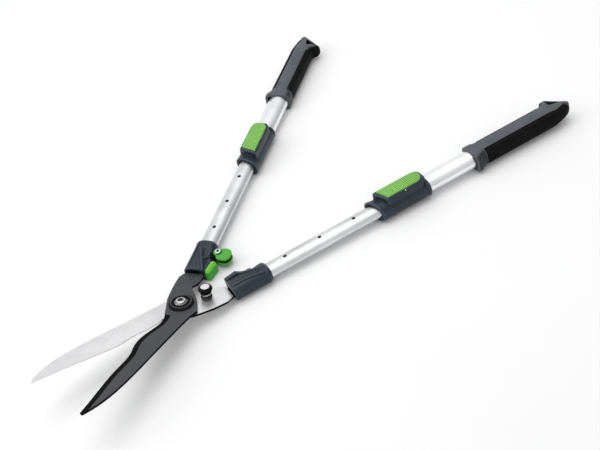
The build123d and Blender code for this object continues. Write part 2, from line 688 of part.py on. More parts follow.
def grip_blank(depth):
    """The whole grip without its bore: a rounded bar whose end hooks inwards."""
    half = GRIP_HALF_WIDTH - depth
    rounded_bar(STRAIGHT_END - 8, 580, HOOK_CENTRE, GRIP_HALF_WIDTH + HOOK_CENTRE + 0.4, depth)
    with BuildSketch(arm.offset(-20)) as outline:
        with BuildLine():
            Line((STRAIGHT_END, half), (STRAIGHT_END, -half))
            ThreePointArc((STRAIGHT_END, -half), (558, TIP_BULGE + depth), GRIP_END)
            Polyline(GRIP_END, HOOK_CORNER, (545, HOOK_CORNER[1] - depth), (STRAIGHT_END, half))
        make_face()
        corners = outline.vertices().sort_by_distance(Vector(*GRIP_END))[0:1]
        corners += outline.vertices().sort_by_distance(Vector(*HOOK_CORNER))[0:2]
        fillet(corners, CORNER_ROUNDING)
    extrude(outline.sketch, amount=40, mode=Mode.INTERSECT)
    rounded_bar(GRIP_START, STRAIGHT_END, 0, GRIP_HALF_WIDTH, depth)


with BuildPart() as core_blank:
    grip_blank(RUBBER_DEPTH)
    prism(BAND_OUTLINE, BAND_FOOT, BAND_TOP)
    with BuildSketch(section(GRIP_START)):
        with Locations((-GRIP_COLLAR_SHIFT, 0)):
            RectangleRounded(*GRIP_COLLAR_SIZE, GRIP_ROUNDING)
    extrude(amount=GRIP_COLLAR)

with BuildPart() as grip_core:
    add(core_blank.part)
    oval(GRIP_START - 1, OUTER_TUBE_END, OUTER_TUBE, Mode.SUBTRACT)
    prism(HANGING_HOLE, -20, 20, Mode.SUBTRACT)
    upright_holes([(GRIP_SCREW_AT, 0)], SMALL_SCREW_RADIUS, -16, -8)
    upright_holes([(GRIP_SCREW_AT, 0)], SMALL_SCREW_HEAD, -16, GRIP_SCREW_SEAT)
write_pair(grip_core, "grip_core")

with BuildPart() as grip_rubber:
    grip_blank(0)
    start, end = RUBBER
    prism([(start, -40), (end, -40), (end, 40), (start, 40)], -20, 20, Mode.INTERSECT)
    add(core_blank.part, mode=Mode.SUBTRACT)
    prism(HANGING_HOLE, -20, 20, Mode.SUBTRACT)
write_pair(grip_rubber, "grip_rubber")

with BuildPart() as grip_screw:
    ring(GRIP_SCREW_HEAD_LOW, GRIP_SCREW_SEAT, SMALL_SCREW_HEAD, 0, arm, (GRIP_SCREW_AT, 0))
    ring(GRIP_SCREW_SEAT, SMALL_SCREW_TOP, SMALL_SCREW_RADIUS, 0, arm, (GRIP_SCREW_AT, 0))
write_pair(grip_screw, "grip_screw")
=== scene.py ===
import json
import math

import bmesh
import bpy
from mathutils import Matrix, Vector


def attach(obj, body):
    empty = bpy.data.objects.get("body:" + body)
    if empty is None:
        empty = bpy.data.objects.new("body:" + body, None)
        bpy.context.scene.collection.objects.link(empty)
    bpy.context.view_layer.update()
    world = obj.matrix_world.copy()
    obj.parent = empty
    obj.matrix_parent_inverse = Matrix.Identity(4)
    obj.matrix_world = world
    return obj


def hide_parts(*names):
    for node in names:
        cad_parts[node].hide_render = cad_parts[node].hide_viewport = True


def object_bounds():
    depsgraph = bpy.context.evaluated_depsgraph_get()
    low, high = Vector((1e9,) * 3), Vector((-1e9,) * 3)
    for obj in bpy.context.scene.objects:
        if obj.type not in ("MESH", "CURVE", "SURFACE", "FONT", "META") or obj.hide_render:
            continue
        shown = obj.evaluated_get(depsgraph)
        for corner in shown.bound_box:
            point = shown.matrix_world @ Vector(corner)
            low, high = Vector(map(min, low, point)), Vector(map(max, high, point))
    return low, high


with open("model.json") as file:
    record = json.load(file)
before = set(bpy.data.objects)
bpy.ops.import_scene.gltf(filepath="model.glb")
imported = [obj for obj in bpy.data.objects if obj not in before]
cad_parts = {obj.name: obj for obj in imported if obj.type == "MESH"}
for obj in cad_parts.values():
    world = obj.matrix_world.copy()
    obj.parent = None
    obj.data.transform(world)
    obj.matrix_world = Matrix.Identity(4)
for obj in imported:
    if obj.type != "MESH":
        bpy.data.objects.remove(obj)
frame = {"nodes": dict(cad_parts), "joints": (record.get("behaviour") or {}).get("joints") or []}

cad_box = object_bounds()
joints = {j["name"]: j for j in frame["joints"]}
MM = 0.001

# ---- places on the right arm, in millimetres: X along it from near the pivot, Y inwards, Z up ----
PIN_AT = (313.0, 17.5)            # the button's hinge pin: along, up
SPRING_AT = 333.0                 # the button's spring
LATCH_SCREW_AT = (97.0, 21.0)     # along, inwards
LATCH_DISC_AT = (94.5, 29.5)
INNER_TUBE_ROOM = (12.05, 8.05)   # semi-axes of the oval tubes, with a little room
OUTER_TUBE_ROOM = (15.05, 11.05)


# ---- frames: the tool's and the right arm's, both from the joints ----
def axes(x, y, z, origin):
    m = Matrix((x, y, z)).transposed().to_4x4()
    m.translation = origin
    return m


pivot_axis = Vector(joints["blade_pivot"]["axis"])
TOOL = axes(
    Vector((pivot_axis.z, 0, -pivot_axis.x)), Vector((0, 1, 0)), pivot_axis,
    Vector(joints["blade_pivot"]["pos_m"]),
)
TOOL_MM = TOOL @ Matrix.Scale(MM, 4)
along = Vector(joints["right_telescope"]["axis"])
inwards = Vector(joints["right_button_rock"]["axis"])
rise = along.cross(inwards)
button_pin = Vector(joints["right_button_rock"]["pos_m"])
ARM = axes(along, inwards, rise, button_pin - PIN_AT[0] * MM * along - PIN_AT[1] * MM * rise)
ARM = ARM @ Matrix.Scale(MM, 4)
MIRROR = Matrix.Diagonal((1, -1, 1, 1))


# ---- materials ----
class Look:
    """A principled material with the few node patterns that the pieces share."""

    def __init__(self, name, **sockets):
        self.material = bpy.data.materials.new(name)
        self.material.use_nodes = True
        self.nodes = self.material.node_tree.nodes
        self.links = self.material.node_tree.links
        self.shader = self.nodes["Principled BSDF"]
        self.place = self.nodes.new("ShaderNodeTexCoord").outputs["Object"]
        for socket, value in sockets.items():
            self.shader.inputs[socket.replace("_", " ")].default_value = value

    def noise(self, size, detail=3.0, stretch=(1, 1, 1), turn=(0, 0, 0)):
        """Noise with features of this size in metres, stretched along its own axes."""
        mapping = self.nodes.new("ShaderNodeMapping")
        mapping.vector_type = "TEXTURE"
        mapping.inputs["Rotation"].default_value = turn
        mapping.inputs["Scale"].default_value = stretch
        self.links.new(self.place, mapping.inputs["Vector"])
        node = self.nodes.new("ShaderNodeTexNoise")
        node.inputs["Scale"].default_value = 1 / size
        node.inputs["Detail"].default_value = detail
        self.links.new(mapping.outputs["Vector"], node.inputs["Vector"])
        return node.outputs["Fac"]

    def ramp(self, factor, *stops):
        node = self.nodes.new("ShaderNodeValToRGB")
        elements = node.color_ramp.elements
        while len(elements) < len(stops):
            elements.new(0.5)
        for element, (position, value) in zip(elements, stops):
            element.position = position
            element.color = (*value, 1) if isinstance(value, tuple) else (value, value, value, 1)
        self.links.new(factor, node.inputs["Fac"])
        return node.outputs["Color"]

    def mix(self, factor, first, second, blend="MIX"):
        node = self.nodes.new("ShaderNodeMix")
        node.data_type = "RGBA"
        node.blend_type = blend
        for socket, value in (("Factor", factor), ("A", first), ("B", second)):
            target = [i for i in node.inputs if i.name == socket and i.enabled][0]
            if isinstance(value, (int, float, tuple)):
                target.default_value = value if socket == "Factor" else (*value, 1)
            else:
                self.links.new(value, target)
        return [o for o in node.outputs if o.enabled][0]

    def relief_light_mask(self, start, full, values=(0.0, 1.0)):
        """A mask of outward edges for painted highlights, or of hollows for painted shade where the stops
        lie below 0.5.
        """
        geometry = self.nodes.new("ShaderNodeNewGeometry")
        stops = zip(sorted((start, full)), values)
        return self.ramp(geometry.outputs["Pointiness"], *stops)

    def facing(self, direction, low, high):
        """0 to 1 as the surface turns towards a direction."""
        geometry = self.nodes.new("ShaderNodeNewGeometry")
        dot = self.nodes.new("ShaderNodeVectorMath")
        dot.operation = "DOT_PRODUCT"
        dot.inputs[1].default_value = direction
        self.links.new(geometry.outputs["True Normal"], dot.inputs[0])
        remap = self.nodes.new("ShaderNodeMapRange")
        remap.inputs["From Min"].default_value = low
        remap.inputs["From Max"].default_value = high
        self.links.new(dot.outputs["Value"], remap.inputs["Value"])
        return remap.outputs["Result"]

    def colour(self, output):
        self.links.new(output, self.shader.inputs["Base Color"])

    def roughness(self, output):
        self.links.new(output, self.shader.inputs["Roughness"])

    def bump(self, output, depth):
        node = self.nodes.new("ShaderNodeBump")
        node.inputs["Distance"].default_value = depth
        node.inputs["Strength"].default_value = 0.6
        self.links.new(output, node.inputs["Height"])
        last = self.shader.inputs["Normal"].links
        if last:
            self.links.new(last[0].from_socket, node.inputs["Normal"])
        self.links.new(node.outputs["Normal"], self.shader.inputs["Normal"])


def moulded(name, dark, light, rough, grain=0.0004, depth=0.00003, edge_highlight=0.35, relief=(0.015, 0.06),
            side_shade=1.0, **sockets):
    """Moulded plastic or rubber: cloudy colour, spark-eroded grain, painted highlights on edges, painted
    shade in hollows.

    relief is how sharp an edge has to be to take a little and the full painted highlight; the shade scale
    darkens the colour of the faces that look sideways or down, as painted shade.
    """
    look = Look(name, **sockets)
    cloud = look.mix(look.ramp(look.noise(0.018), (0.35, 0.0), (0.65, 1.0)), dark, light)
    # Painted shade: faces that look sideways or down are darkened by the shade scale.
    if side_shade < 1:
        shaded_sides = look.mix(1.0, cloud, (side_shade, side_shade, side_shade), "MULTIPLY")
        cloud = look.mix(look.facing(tuple(rise), 0.80, 0.98), shaded_sides, cloud)
    # Painted highlight: sharp outward edges are paled.
    pale = tuple(min(1.0, 1.7 * c + 0.012) for c in light)
    edge = look.mix(edge_highlight, (0.0, 0.0, 0.0), (1.0, 1.0, 1.0))
    highlight_mask = look.mix(1.0, look.relief_light_mask(0.5 + relief[0], 0.5 + relief[1]), edge, "MULTIPLY")
    toned = look.mix(highlight_mask, cloud, pale)
    # Painted shade: hollows are darkened.
    hollows = look.relief_light_mask(0.5 - relief[0] / 3, 0.5 - relief[1] * 0.7, (1.0, 0.0))
    look.colour(look.mix(hollows, toned, tuple(0.3 * c for c in dark)))
    look.roughness(look.ramp(look.noise(0.006), (0.3, rough - 0.06), (0.7, rough + 0.06)))
    look.bump(look.noise(grain, 2.0), depth)
    return look


def metal(name, dark, light, rough, stretch=(1, 1, 1), turn=(0, 0, 0), fine=0.0006, depth=0.000008):
    """Metal with a drawn or brushed grain, stretched along one axis."""
    look = Look(name, Metallic=1.0)
    grain = look.noise(fine, 4.0, stretch, turn)
    cloud = look.noise(0.03, 2.0)
    tone = look.mix(look.ramp(cloud, (0.35, 0.0), (0.65, 1.0)), dark, light)
    look.colour(look.mix(look.ramp(grain, (0.3, 0.12), (0.7, 0.0)), tone, dark))
    look.roughness(look.ramp(grain, (0.25, rough - 0.07), (0.75, rough + 0.07)))
    look.bump(grain, depth)
    return look


SPREAD = math.atan2(-along.y, along.x)
# The looks below pale their sharp edges as a painted highlight and darken their hollows as painted shade.
slate = moulded("slate_plastic", (0.011, 0.020, 0.031), (0.016, 0.028, 0.042), 0.34,
                edge_highlight=0.8, relief=(0.002, 0.024), Specular_IOR_Level=0.32)
# The grip's grey is darkened on faces that look sideways or down: painted shade.
grip_grey = moulded("grip_grey", (0.064, 0.074, 0.089), (0.082, 0.092, 0.108), 0.46, edge_highlight=0.4,
                    relief=(0.008, 0.04), side_shade=0.22, Specular_IOR_Level=0.3)
rubber = moulded("grip_rubber", (0.0045, 0.0045, 0.005), (0.0065, 0.0065, 0.007), 0.6,
                 grain=0.0007, depth=0.00006, edge_highlight=0.1, Specular_IOR_Level=0.06)
green = moulded("green_plastic", (0.19, 0.485, 0.072), (0.215, 0.53, 0.087), 0.42, edge_highlight=0.08)
latch_green = moulded("latch_green", (0.036, 0.32, 0.012), (0.056, 0.37, 0.021), 0.34, edge_highlight=0.2)
# A darker green for the latch's slot: painted shade.
slot_shade_green = moulded("latch_slot_shade", (0.01, 0.05, 0.006), (0.014, 0.06, 0.008), 0.5)
bumper_green = moulded("bumper_green", (0.033, 0.34, 0.015), (0.048, 0.39, 0.024), 0.5, edge_highlight=0.1)
# A paler copy of the bumper's green for its upward faces: painted light.
bumper_lit_copy = moulded("bumper_lit_copy", (0.125, 0.50, 0.025), (0.16, 0.55, 0.036), 0.45, edge_highlight=0.1)
black_and_dark_reflection = moulded("black_plastic", (0.002, 0.002, 0.0025), (0.004, 0.004, 0.0045), 0.26, edge_highlight=0.2,
                Specular_IOR_Level=0.07)
nylon = moulded("nylon", (0.02, 0.02, 0.022), (0.03, 0.03, 0.032), 0.5)
chrome = metal("chrome", (0.62, 0.63, 0.65), (0.82, 0.83, 0.85), 0.12, fine=0.004)


def turned_look(name, *stops):
    """Polished turned metal with painted reflections: dark and bright bands by the slope of the surface.
    """
    look = Look(name, Metallic=1.0)
    look.colour(look.ramp(look.facing(tuple(pivot_axis), 0.0, 1.0), *stops))
    look.roughness(look.ramp(look.noise(0.003), (0.3, 0.10), (0.7, 0.18)))
    return look


# Painted reflections on the pivot screw's head: grey, white and dark bands by slope.
turned = turned_look("turned_chrome", (0.0, 0.10), (0.30, 0.25), (0.45, 0.55), (0.55, 0.10),
                     (0.82, 0.26), (0.94, 0.8))
# Painted highlight on the stop bolt: white only where its top faces straight up, dark elsewhere as a
# painted dark reflection.
stop_steel = turned_look("stop_chrome", (0.0, 0.05), (0.35, 0.02), (0.94, 0.04), (0.99, 0.85))
socket_steel = metal("socket_steel", (0.20, 0.23, 0.27), (0.30, 0.33, 0.37), 0.3, fine=0.001)
zinc_and_highlight = metal("zinc_and_highlight", (0.42, 0.43, 0.44), (0.62, 0.62, 0.61), 0.38, fine=0.001)
DRAWN = (60, 1, 1)                # the grain of a drawn tube, along the arm
inner_tube, outer_tube = {}, {}
for side, angle in (("right", -SPREAD), ("left", SPREAD)):
    inner_tube[side] = metal(f"inner_tube_{side}", (0.64, 0.65, 0.66), (0.76, 0.77, 0.78), 0.40,
                             DRAWN, (0, 0, angle))
    outer_tube[side] = metal(f"outer_tube_{side}", (0.86, 0.87, 0.88), (0.95, 0.95, 0.96), 0.3,
                             DRAWN, (0, 0, angle), depth=0.000003)
bright = metal("bright_steel", (0.70, 0.70, 0.71), (0.80, 0.80, 0.81), 0.36,
               stretch=(1, 40, 1), turn=(0, 0, -SPREAD), fine=0.0006, depth=0.000004)

coated = Look("coated_steel", Metallic=0.2, Specular_IOR_Level=0.3)
speckle = coated.ramp(coated.noise(0.0005, 2.0), (0.60, 0.0), (0.72, 0.2))
satin = coated.mix(coated.noise(0.02), (0.042, 0.043, 0.047), (0.058, 0.059, 0.063))
coated.colour(coated.mix(speckle, satin, (0.24, 0.24, 0.25)))
coated.roughness(coated.ramp(coated.noise(0.004), (0.3, 0.40), (0.7, 0.52)))
coated.bump(coated.noise(0.0006, 3.0), 0.00002)
# Near black: the blades' ground and cut faces, and the latch screw's key hole as painted shade.
edge_black_and_shade = moulded("black_edge_and_shade", (0.002, 0.002, 0.0022), (0.004, 0.004, 0.0044), 0.5,
                    grain=0.0003, edge_highlight=0.15, Specular_IOR_Level=0.015)


# ---- meshes, drawn in the right arm's frame in millimetres ----
def oval_ring(a, left, right, top, bottom, power, count=72, narrow=0.0):
    """Superellipse across the arm; narrow draws its top in."""
    mid_y, half_y = (left + right) / 2, (right - left) / 2
    mid_z, half_z = (top + bottom) / 2, (top - bottom) / 2
    points = []
    for k in range(count):
        c, s = math.cos(math.tau * k / count), math.sin(math.tau * k / count)
        across = math.copysign(abs(c) ** (2 / power), c)
        upright = math.copysign(abs(s) ** (2 / power), s)
        across *= 1 - narrow * (upright + 1) / 2
        points.append(Vector((a, mid_y + half_y * across, mid_z + half_z * upright)))
    return points


def skin(bm, rings):
    """Closed surface through rings of equal length."""
    rows = [[bm.verts.new(p) for p in points] for points in rings]
    for first, second in zip(rows, rows[1:]):
        for k in range(len(first)):
            nxt = (k + 1) % len(first)
            bm.faces.new((first[k], first[nxt], second[nxt], second[k]))
    bm.faces.new(rows[0])
    bm.faces.new(rows[-1])


BAR_STEP = 2.0


def bar(bm, start, end, shape, round_start, round_end):
    """Bar along the arm with rounded ends; shape(a) gives left, right, top, bottom, power, narrow."""
    quarter = [1 - math.cos(k * math.pi / 16) for k in range(9)]
    stations = [start + round_start * q for q in quarter]
    stations += [end - round_end * q for q in quarter]
    low, high = start + round_start, end - round_end
    count = max(1, int((high - low) / BAR_STEP))
    stations += [low + (high - low) * k / count for k in range(1, count)]
    rings = []
    for a in sorted(set(stations)):
        inset = 0.0
        for reach, radius in ((low - a, round_start), (a - high, round_end)):
            if reach > 0:
                inset += radius * (1 - math.sqrt(max(0.0, 1 - (reach / radius) ** 2)))
        left, right, top, bottom, power, narrow = shape(a)
        rings.append(oval_ring(a, left + inset, right - inset, top - inset, bottom + inset, power,
                               narrow=narrow))
    skin(bm, rings)


def prism(bm, outline, low, high):
    skin(bm, [[Vector((x, y, z)) for x, y in outline] for z in (low, high)])


def capsule(bm, start, end, radius, count=16):
    """Round-ended rod between two points."""
    start, end = Vector(start), Vector(end)
    axis = (end - start).normalized()
    side = axis.orthogonal().normalized()
    other = axis.cross(side)
    rings = []
    for base, turns in ((start, range(-7, 1)), (end, range(0, 8))):
        for k in turns:
            angle = k * math.pi / 16
            r = radius * math.cos(angle)
            centre = base + axis * radius * math.sin(angle)
            rings.append([
                centre + r * (side * math.cos(math.tau * i / count)
                              + other * math.sin(math.tau * i / count))
                for i in range(count)
            ])
    skin(bm, rings)


def disc(bm, centre, radius, low, high, edge, power=2.0, count=72):
    """Upright disc with rounded edges."""
    rings = []
    for z, turns in ((low + edge, range(-4, 1)), (high - edge, range(0, 5))):
        for k in turns:
            angle = k * math.pi / 8
            r = radius - edge * (1 - math.cos(angle))
            ring = oval_ring(0, -r, r, r, -r, power, count)
            height = z + edge * math.sin(angle)
            rings.append([Vector((centre[0] + p.z, centre[1] + p.y, height)) for p in ring])
    skin(bm, rings)


def finished(bm, *modifiers):
    """The bmesh as a mesh with these modifiers applied, each a (type, settings) pair."""
    bmesh.ops.recalc_face_normals(bm, faces=bm.faces)
    mesh = bpy.data.meshes.new("draft")
    bm.to_mesh(mesh)
    bm.free()
    draft = bpy.data.objects.new("draft", mesh)
    bpy.context.scene.collection.objects.link(draft)
    for kind, settings in modifiers:
        modifier = draft.modifiers.new(kind, kind)
        for key, value in settings.items():
            setattr(modifier, key, value)
    bpy.context.view_layer.update()
    done = bpy.data.meshes.new_from_object(
        draft.evaluated_get(bpy.context.evaluated_depsgraph_get())
    )
    bpy.data.objects.remove(draft)
    return done


cutters = []


def cut_by(bm):
    """A modifier that cuts this shape away. The cutters are removed once every piece is made."""
    cutter = bpy.data.objects.new("cutter", finished(bm))
    bpy.context.scene.collection.objects.link(cutter)
    cutters.append(cutter)
    return "BOOLEAN", {"operation": "DIFFERENCE", "solver": "EXACT", "object": cutter}


def soft_union(size, passes):
    """Melts overlapping shapes into one moulding with rounded edges and inner corners."""
    return (
        ("REMESH", {"mode": "VOXEL", "voxel_size": size}),
        ("SMOOTH", {"factor": 0.5, "iterations": passes}),
    )


def declare(name, mesh, body, node):
    """Shows a mesh that is in the CAD's frame, in place of a node."""
    thing = bpy.data.objects.new(name, mesh)
    bpy.context.scene.collection.objects.link(thing)
    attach(thing, body)
    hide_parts(node)


def piece(name, mesh, left, body, looks, node, crease=40, second=None):
    """second(polygon) picks the faces in the other finish, as drawn.
    """
    mesh = mesh.copy()
    mesh.name = name
    finish = [int(bool(second) and second(polygon)) for polygon in mesh.polygons]
    mesh.transform(MIRROR @ ARM if left else ARM)
    if left:
        mesh.flip_normals()
    mesh.materials.clear()
    for look in looks:
        mesh.materials.append(look.material)
    for polygon, index in zip(mesh.polygons, finish):
        polygon.use_smooth = True
        polygon.material_index = index
    mesh.set_sharp_from_angle(angle=math.radians(crease))
    declare(name, mesh, body, node)


def pair(name, mesh, body, looks, node, crease=40):
    for side in ("right", "left"):
        piece(f"{side}_{name}_moulding", mesh, side == "left", f"{side}_{body}", looks,
              f"{side}_{node}", crease)


# ---- clamps ----
BUTTON_HALF = 10.7
BUTTON_FRONT = 285.5
BUTTON_BACK = 342.0
BUTTON_TOP, BUTTON_FLOOR = 20.7, 16.0
BUTTON_GAP = 0.8
POCKET_FLOOR = 12.9
SLANT = 0.29


def slanted(bm, fixed_from=318.0, straight_to=288.0):
    """Skews the front end in plan: the outer side lies further back."""
    for vert in bm.verts:
        share = min(1.0, max(0.0, (fixed_from - vert.co.x) / (fixed_from - straight_to)))
        vert.co.x -= SLANT * share * vert.co.y


def button_half(a):
    """Half-width of the button's outline: square in front, round at the back."""
    reach = max(0.0, a - (BUTTON_BACK - BUTTON_HALF))
    return math.sqrt(max(0.0, BUTTON_HALF ** 2 - reach ** 2))


def pocket_outline():
    """The button's outline in plan, with the gap round it."""
    front = BUTTON_FRONT - BUTTON_GAP
    centre = BUTTON_BACK - BUTTON_HALF
    half = BUTTON_HALF + BUTTON_GAP
    arc = [
        (centre + half * math.sin(k * math.pi / 24), half * math.cos(k * math.pi / 24))
        for k in range(25)
    ]
    return [(front, half), (centre - 1, half), *arc, (centre - 1, -half), (front, -half)]


def sleeve(a):
    """The clamp's oval body, flared at its mouth, with a groove and a rim near its back end."""
    flare = 1.0 * max(0.0, 1 - (a - 269) / 8) + 0.7 * math.exp(-((a - 345.5) / 3.0) ** 2)
    flare -= 0.8 * math.exp(-((a - 341.0) / 0.9) ** 2)
    return -16.6 - flare, 16.6 + flare, 12.2 + flare, -12.7, 2.4, 0.0


def box(a):
    """The housing round the button, lower and narrower towards its back end."""
    top = 19.5 - 4.0 * max(0.0, (a - 340) / 8) ** 2
    half = 14.9 * math.sqrt(1 - max(0.0, (a - 333) / 15) ** 2)
    return -half, half, top, -4.0, 7.0, 0.10


clamp = bmesh.new()
bar(clamp, 269.5, 348.0, sleeve, 1.2, 3.0)
bar(clamp, 281.5, 346.0, box, 2.0, 2.2)
slanted(clamp)
pocket = bmesh.new()
prism(pocket, pocket_outline(), POCKET_FLOOR, 30)
bmesh.ops.subdivide_edges(pocket, edges=[e for e in pocket.edges if e.calc_length() > 20], cuts=20)
slanted(pocket)
bore = bmesh.new()
skin(bore, [
    oval_ring(a, -half, half, high, -low, 2.0)
    for a, half, high, low in ((255, 16.4, 13.5, 9.2), (264, 15.2, 12.2, 9.2), (272, 13.6, 10.4, 8.8),
                               (280, 12.6, 9.0, 8.6), (280.5, *OUTER_TUBE_ROOM, OUTER_TUBE_ROOM[1]),
                               (352, *OUTER_TUBE_ROOM, OUTER_TUBE_ROOM[1]))
])
slanted(bore, 284, 280)
clamp_mesh = finished(clamp, *soft_union(0.55, 5), cut_by(pocket), cut_by(bore))
pair("clamp", clamp_mesh, "handle", [slate], "clamp_housing", crease=30)

# ---- buttons: fine ribs across the top ----
RIB_PITCH = 2.6
RIB_DEPTH = 0.8
RIB_ROWS = 190
button = bmesh.new()
rings = []
for k in range(RIB_ROWS + 1):
    a = BUTTON_FRONT + (BUTTON_BACK - 0.05 - BUTTON_FRONT) * k / RIB_ROWS
    half = button_half(a)
    ends = min(1.0, (a - BUTTON_FRONT) / 1.2, (BUTTON_BACK - a) / 1.2)
    drop = 0.9 * (1 - math.sqrt(max(0.0, 1 - (1 - ends) ** 2)))
    rib = RIB_DEPTH * (0.5 - 0.5 * math.cos(math.tau * (a - BUTTON_FRONT) / RIB_PITCH)) ** 2
    rings.append(oval_ring(a, -half, half, BUTTON_TOP - drop - rib, BUTTON_FLOOR, 7.0, 64))
skin(button, rings)
slanted(button)
spring_pocket = bmesh.new()
disc(spring_pocket, (SPRING_AT, 0), 3.7, 14.0, 18.9, 0.2)
button_mesh = finished(button, cut_by(spring_pocket))
pair("button", button_mesh, "button", [green], "button", crease=60)

# the hinge pin's end shows on the outer side only; the inner one stops within the wall
pin = bmesh.new()
capsule(pin, (PIN_AT[0], -13.2, PIN_AT[1]), (PIN_AT[0], 11.6, PIN_AT[1]), 0.9)
pair("button_pin", finished(pin), "handle", [chrome], "button_pin")


# ---- ferrules ----
def ferrule_sleeve(a):
    """The ferrule's sleeve, with a slight bulge near its tube end."""
    swell = 0.5 * math.exp(-((a - 110) / 5) ** 2)
    return -14.2 - swell, 14.2 + swell, 10.5 + swell, -10.9, 2.6, 0.0


def hollowed_sleeve(a):
    """The same sleeve, drawn in on its inner side where the closed latch passes."""
    outer, inner, *rest = ferrule_sleeve(a)
    return outer, inner - 1.1 * math.exp(-((a - 95) / 8) ** 2), *rest


def tube_socket():
    socket = bmesh.new()
    half, high = INNER_TUBE_ROOM
    bar(socket, 105, 120, lambda a: (-half, half, high, -high, 2.0, 0.0), 1.0, 1.0)
    return socket


def mouth(inner, top, bottom):
    """The dark opening round the blade's tang."""
    opening = bmesh.new()
    bar(opening, 55, 67.5, lambda a: (-11.6, inner, top, bottom, 5.0, 0.0), 0.5, 1.5)
    return opening


def folds(bm, radius, *points):
    """A raised fold through these points."""
    for start, end in zip(points, points[1:]):
        capsule(bm, start, end, radius)


def scoop(radius, start, end):
    hollow = bmesh.new()
    capsule(hollow, start, end, radius, 24)
    return hollow


right = bmesh.new()
bar(right, 62, 116.5, hollowed_sleeve, 1.5, 7.0)
prism(right, [(62.6, 4), (62.6, 20.6), (79.4, 23.9), (82, 20.5), (89, 14), (89, 4)], -8.5, 7.0)
prism(right, [(86, 8), (86, 15.5), (91, 18.6), (94, 20.2), (97, 20.0), (98.6, 18), (98, 8)], 1.0, 3.3)
capsule(right, (90.0, 10.2, 6.4), (94.5, 10.4, 6.8), 2.6)
folds(right, 2.0, (111, 1.0, 9.9), (98, 3.5, 10.4), (86, 8.5, 10.2), (79, 15.5, 8.2), (66, 14.0, 8.4))
folds(right, 1.8, (79, 20.5, 6.4), (65, 18.4, 6.4))
folds(right, 1.5, (66, -4.0, 10.4), (84, -5.0, 10.6), (106, -8.5, 9.6))
right_mesh = finished(
    right, ("REMESH", {"mode": "VOXEL", "voxel_size": 0.5}),
    cut_by(scoop(3.6, (68, 6.5, 13.0), (82, 2.5, 13.2))),
    cut_by(scoop(3.4, (84, 17.5, 10.0), (97, 11.5, 11.6))),
    cut_by(mouth(16.5, 3.6, -6.0)),
    *soft_union(0.5, 4), cut_by(tube_socket()),
)
piece("right_ferrule_moulding", right_mesh, False, "right_lever", [slate],
      "right_ferrule")

left = bmesh.new()
bar(left, 62, 116.5, ferrule_sleeve, 1.5, 7.0)
prism(left, [(62.3, 4), (62.3, 15.2), (79.7, 17.7), (86, 14), (88, 4)], -8.8, 7.2)
prism(left, [(91, 5), (91, 20), (103, 20), (103, 5)], -8.9, -3.4)
disc(left, LATCH_SCREW_AT, 6.4, -8.9, -3.4, 0.6)
folds(left, 2.0, (64, 11.5, 8.2), (80, 5.0, 10.2), (87, 12.0, 8.0), (104, 8.0, 9.2))
folds(left, 1.9, (80, 5.0, 10.2), (98, -2.0, 10.4))
folds(left, 1.4, (66, -8.5, 9.4), (90, -8.5, 9.8), (108, -9.0, 9.2))
left_mesh = finished(
    left, ("REMESH", {"mode": "VOXEL", "voxel_size": 0.5}),
    cut_by(scoop(3.2, (86, 6.5, 12.4), (99, 3.6, 12.8))),
    cut_by(scoop(3.6, (66, 3.0, 13.4), (76, 0.5, 13.6))),
    cut_by(mouth(11.6, 6.6, -5.0)),
    *soft_union(0.5, 4), cut_by(tube_socket()),
)
piece("left_ferrule_moulding", left_mesh, True, "left_lever", [slate],
      "left_ferrule")

# ---- bumper: its upper faces are bevelled, and paler as painted light ----
PAD = [(62.1, 15.2), (81.2, 17.6), (81.2, 24.4), (62.1, 20.9)]


def pad_ring(z, front, inner):
    """The pad's outline at one height, drawn back from its front and inner faces."""
    (x0, y0), (x1, y1), (x2, y2), (x3, y3) = PAD
    return [Vector((x0 + front, y0, z)), Vector((x1, y1, z)), Vector((x2, y2 - inner, z)),
            Vector((x3 + front, y3 - inner, z))]


pad = bmesh.new()
skin(pad, [pad_ring(-8.9, 0, 0), pad_ring(4.2, 0, 0), pad_ring(7.0, 2.6, 2.9)])
bmesh.ops.recalc_face_normals(pad, faces=pad.faces)
pad_mesh = finished(pad, ("BEVEL", {"width": 0.7, "segments": 4, "limit_method": "ANGLE"}))
# Faces that look up take the paler green: painted light.
piece("bumper_pad", pad_mesh, True, "left_lever", [bumper_green, bumper_lit_copy], "bumper",
      second=lambda face: face.normal.z > 0.4)

# ---- latch: two discs on a hub, open between them for the other arm's finger ----
LATCH_LOW, LATCH_HIGH = -2.95, 7.95
SLOT_LOW, SLOT_HIGH = 0.65, 4.85
turn = bmesh.new()
disc(turn, LATCH_DISC_AT, 10.0, LATCH_LOW, SLOT_LOW, 0.7, power=2.5)
disc(turn, LATCH_DISC_AT, 10.0, SLOT_HIGH, LATCH_HIGH, 0.8, power=2.5)
disc(turn, LATCH_SCREW_AT, 6.0, LATCH_LOW, LATCH_HIGH, 0.4)


def in_slot(face):
    """The slot's floor and roof, and the hub's wall between them, which take the darker green of painted
    shade.
    """
    level = abs(face.normal.z) > 0.9 and 0 < face.center.z < 5.5
    return level or face.center.y < 28 and 0.7 < face.center.z < 4.8


piece("latch_disc", finished(turn), True, "latch", [latch_green, slot_shade_green], "latch",
      crease=50, second=in_slot)

bolt = bmesh.new()
disc(bolt, LATCH_SCREW_AT, 4.0, 8.1, 9.85, 0.5)
disc(bolt, LATCH_SCREW_AT, 2.45, -8.4, 8.4, 0.2)
key = bmesh.new()
disc(key, LATCH_SCREW_AT, 2.0, 8.9, 12, 0.01, count=6)
bolt_mesh = finished(bolt, ("REMESH", {"mode": "VOXEL", "voxel_size": 0.2}), cut_by(key))


def in_key_hole(face):
    aside = Vector(LATCH_SCREW_AT) - face.center.xy
    return aside.length < 2.1 and 8.5 < face.center.z < 9.8


